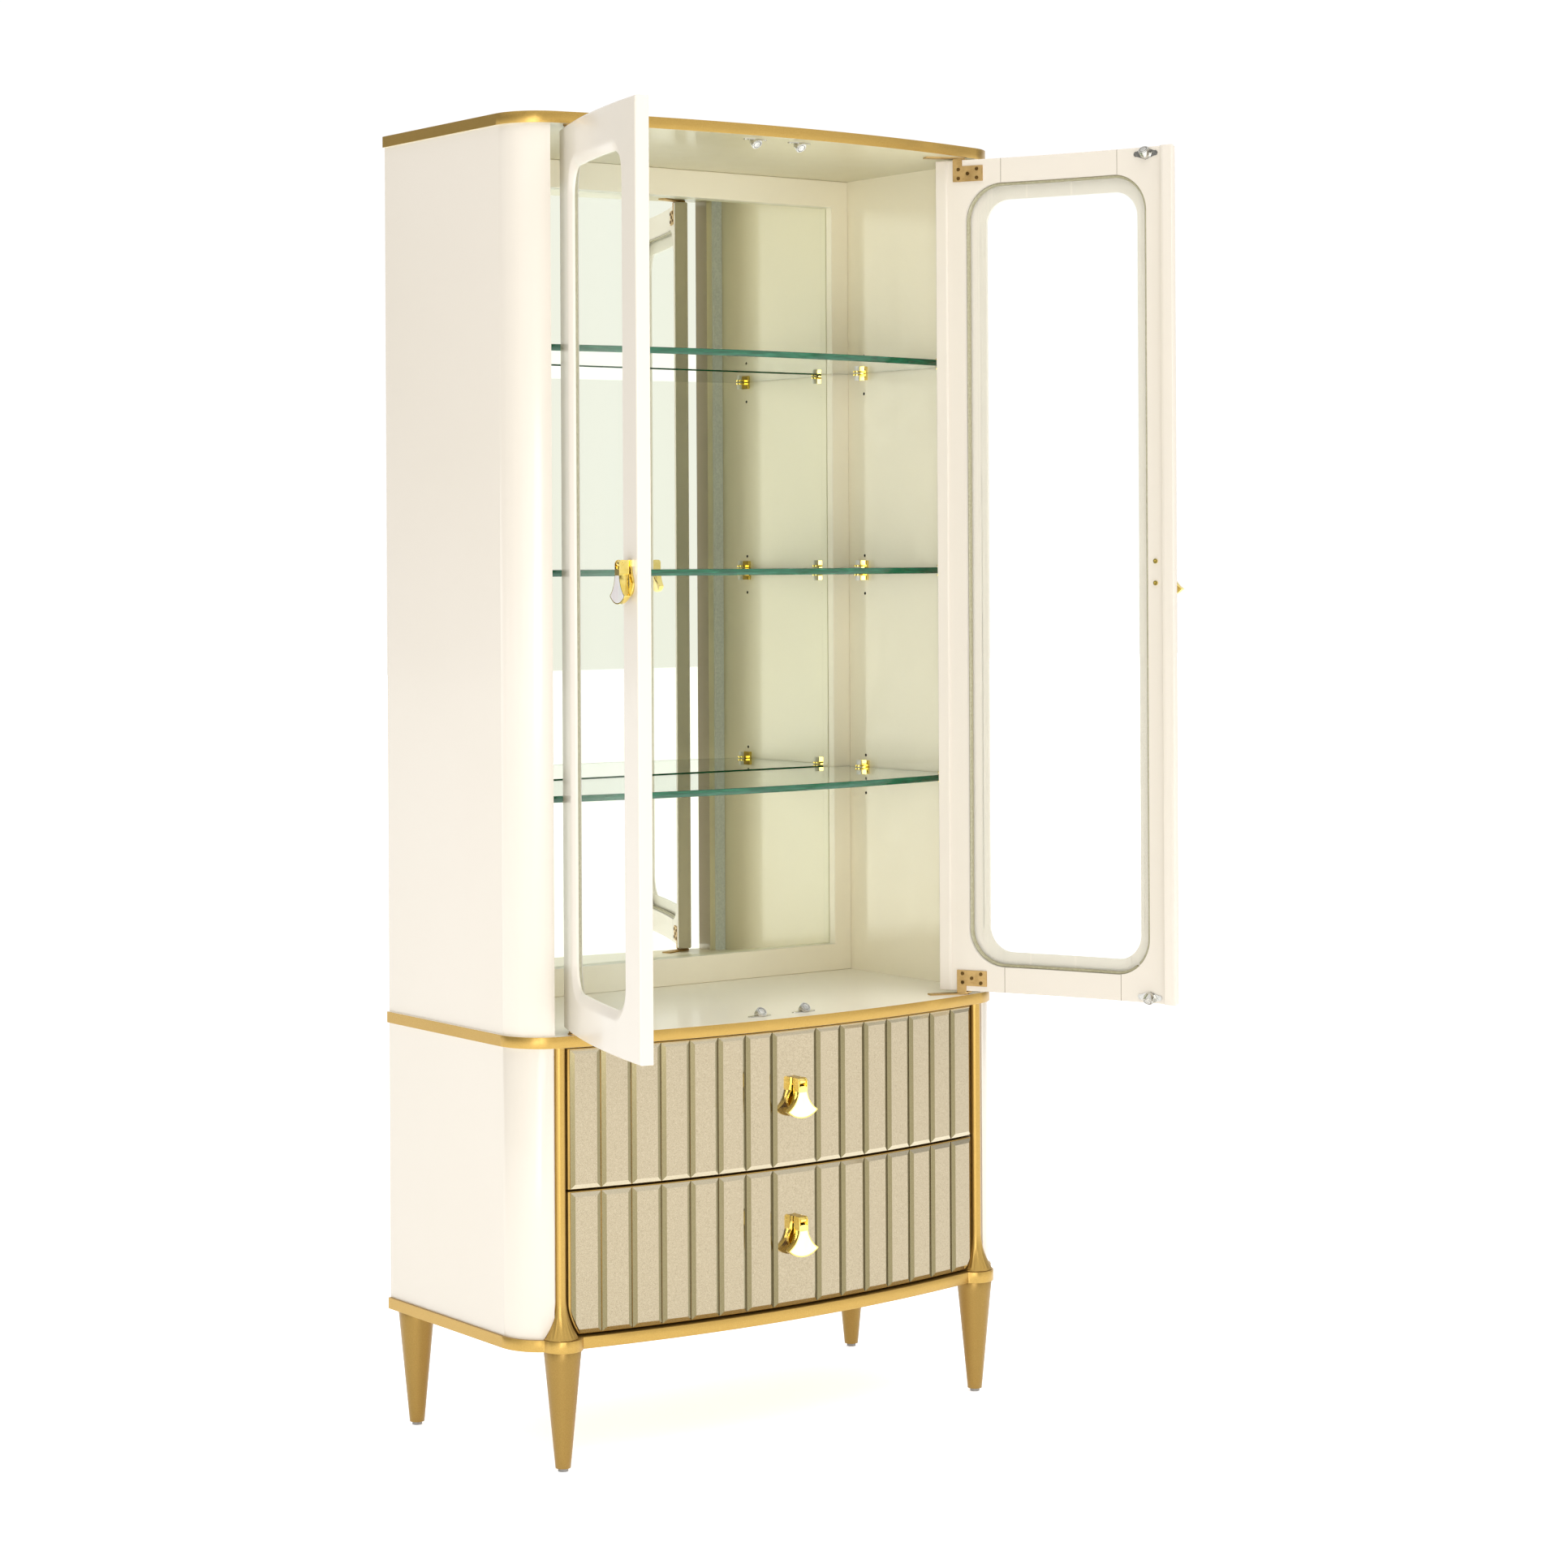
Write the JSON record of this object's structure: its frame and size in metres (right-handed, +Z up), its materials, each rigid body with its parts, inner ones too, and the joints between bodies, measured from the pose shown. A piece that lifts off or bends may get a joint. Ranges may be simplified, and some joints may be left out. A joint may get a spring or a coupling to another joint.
{
  "type": "bow-front curio cabinet",
  "caption": "Bow-front curio cabinet: glazed double doors, glass shelves and a framed mirror back over slatted drawers with drop pulls, on round tapered legs.",
  "frame": {"origin": "on the floor, midway along the back edge of the case", "axes": "+Z up, the bowed front faces -Y, +X to the right seen from the front"},
  "size_m": [1.0576, 0.7579, 2],
  "materials": {
    "gold_lacquer": "satin gold lacquer",
    "cream_lacquer": "gloss lacquer",
    "mirror": "silvered",
    "grey_nylon": "matte",
    "shelf_glass": "polished edge",
    "door_glass": "polished",
    "grey_bead": "satin",
    "white_nylon": "matte",
    "polished_brass": "polished",
    "nickel": "bright",
    "gold_plated_steel": "satin gold plate",
    "light_diffuser": "frosted",
    "zinc_steel": "zinc plated",
    "shell_inlay": "pearl",
    "antique_mirror": "champagne speckled",
    "birch": "clear lacquer"
  },
  "bodies": {
    "carcass": {"top_panel": "gold_lacquer", "deck_panel": "gold_lacquer", "base_panel": "gold_lacquer", "left_side_upper": "cream_lacquer", "right_side_upper": "cream_lacquer", "left_side_lower": "cream_lacquer", "right_side_lower": "cream_lacquer", "upper_back": "cream_lacquer", "lower_back": "cream_lacquer", "mirror_frame": "cream_lacquer", "back_mirror": "mirror", "pilasters": "gold_lacquer", "legs": "gold_lacquer", "leg_glides": "grey_nylon", "lower_shelf": "shelf_glass", "middle_shelf": "shelf_glass", "upper_shelf": "shelf_glass", "shelf_clips": "polished_brass", "shelf_clip_pads": "white_nylon", "cabinet_catches": "nickel", "hinge_jamb_plates": "gold_plated_steel", "light_channels": "light_diffuser", "slide_rails": "zinc_steel"},
    "left_door": {"left_hinge_stile": "cream_lacquer", "left_lock_stile": "cream_lacquer", "left_top_rail": "cream_lacquer", "left_bottom_rail": "cream_lacquer", "left_glass": "door_glass", "left_glass_bead": "grey_bead", "left_hinge_leaves": "gold_plated_steel", "left_door_catches": "nickel", "left_pull_plate": "polished_brass"},
    "left_pull": {"left_pendant": "polished_brass", "left_inlay": "shell_inlay"},
    "right_door": {"right_hinge_stile": "cream_lacquer", "right_lock_stile": "cream_lacquer", "right_top_rail": "cream_lacquer", "right_bottom_rail": "cream_lacquer", "right_glass": "door_glass", "right_glass_bead": "grey_bead", "right_hinge_leaves": "gold_plated_steel", "right_door_catches": "nickel", "right_lap_strip": "cream_lacquer", "right_pull_plate": "polished_brass"},
    "right_pull": {"right_pendant": "polished_brass", "right_inlay": "shell_inlay"},
    "upper_drawer": {"upper_front": "gold_lacquer", "upper_slats": "antique_mirror", "upper_box": "birch", "upper_runners": "zinc_steel", "upper_pull_plate": "polished_brass"},
    "upper_pull": {"upper_pendant": "polished_brass", "upper_inlay": "shell_inlay"},
    "lower_drawer": {"lower_front": "gold_lacquer", "lower_slats": "antique_mirror", "lower_box": "birch", "lower_runners": "zinc_steel", "lower_pull_plate": "polished_brass"},
    "lower_pull": {"lower_pendant": "polished_brass", "lower_inlay": "shell_inlay"}
  },
  "joints": [
    {"name": "left_door_hinge", "type": "hinge", "parent": "carcass", "child": "left_door", "pos_m": [-0.3724, -0.3996, 0.6404], "axis": [0, 0, 1], "range_deg": [-8, 101.5]},
    {"name": "right_door_hinge", "type": "hinge", "parent": "carcass", "child": "right_door", "pos_m": [0.3724, -0.3996, 0.6404], "axis": [0, 0, 1], "range_deg": [-106.6, 3]},
    {"name": "upper_drawer_slide", "type": "slide", "parent": "carcass", "child": "upper_drawer", "axis": [0, -1, 0], "range_m": [0, 0.28]},
    {"name": "lower_drawer_slide", "type": "slide", "parent": "carcass", "child": "lower_drawer", "axis": [0, -1, 0], "range_m": [0, 0.28]},
    {"name": "left_pull_swing", "type": "hinge", "parent": "left_door", "child": "left_pull", "pos_m": [-0.50212, -0.72383, 1.335], "axis": [0.2148, 0.9767, 0], "range_deg": [0, 85]},
    {"name": "right_pull_swing", "type": "hinge", "parent": "right_door", "child": "right_pull", "pos_m": [0.53043, -0.71101, 1.335], "axis": [0.3008, -0.9537, 0], "range_deg": [0, 85]},
    {"name": "upper_pull_swing", "type": "hinge", "parent": "upper_drawer", "child": "upper_pull", "pos_m": [0, -0.4602, 0.5432], "axis": [-1, 0, 0], "range_deg": [0, 85]},
    {"name": "lower_pull_swing", "type": "hinge", "parent": "lower_drawer", "child": "lower_pull", "pos_m": [0, -0.4602, 0.3317], "axis": [-1, 0, 0], "range_deg": [0, 85]}
  ]
}
